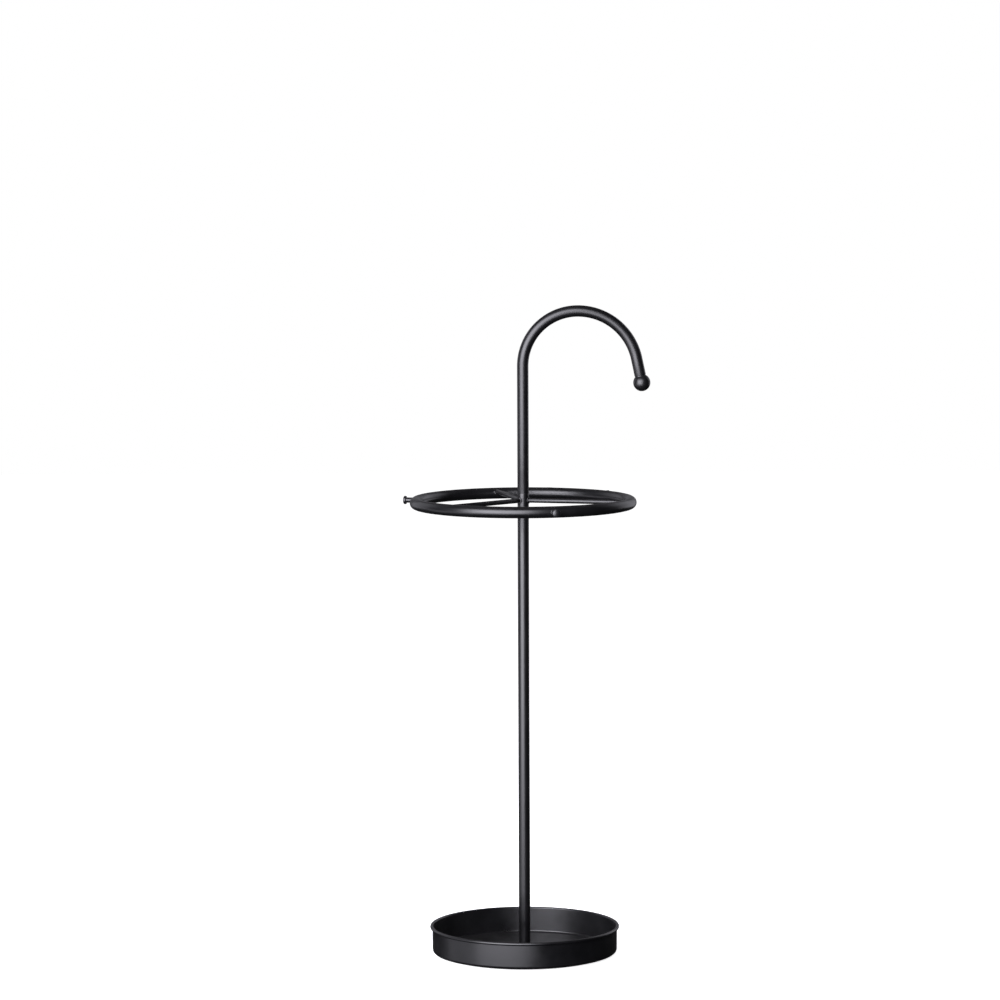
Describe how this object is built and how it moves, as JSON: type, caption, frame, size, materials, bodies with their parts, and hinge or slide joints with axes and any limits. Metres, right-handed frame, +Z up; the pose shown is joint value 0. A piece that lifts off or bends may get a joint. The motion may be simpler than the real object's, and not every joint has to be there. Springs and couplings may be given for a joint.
{
  "type": "umbrella stand",
  "caption": "Free-standing black metal umbrella stand: round drip tray, slim pole ending in a ball-tipped hook, and a spoked hoop with button pegs for straps.",
  "frame": {"origin": "centre of the pad's underside, on the floor under the pole's axis", "axes": "+Z up along the pole; the hook opens towards +X; -Y is the front"},
  "size_m": [0.2603, 0.2458, 0.685],
  "materials": {
    "pole_coat": "satin black powder coat on steel tube",
    "ring_coat": "satin black powder coat on the welded hoop, spokes and pegs",
    "tray_coat": "satin black powder coat on spun sheet steel",
    "zinc_steel": "bright zinc-plated hidden fasteners",
    "pad_rubber": "matt foam rubber pad"
  },
  "bodies": {
    "root": {"base_pad": "pad_rubber", "base_screw": "zinc_steel", "base_washer": "zinc_steel", "foot_plug": "zinc_steel", "hook_ball": "pole_coat", "hoop": "ring_coat", "hoop_hub": "pole_coat", "hub_welds": "ring_coat", "joint_stud": "zinc_steel", "lower_insert": "zinc_steel", "lower_pole": "pole_coat", "peg_back_right": "ring_coat", "peg_front": "ring_coat", "peg_left": "ring_coat", "peg_welds": "ring_coat", "spoke_back_left": "ring_coat", "spoke_end_welds": "ring_coat", "spoke_front_left": "ring_coat", "spoke_right": "ring_coat", "tray": "tray_coat", "upper_insert": "zinc_steel", "upper_pole_hook": "pole_coat"}
  },
  "joints": []
}
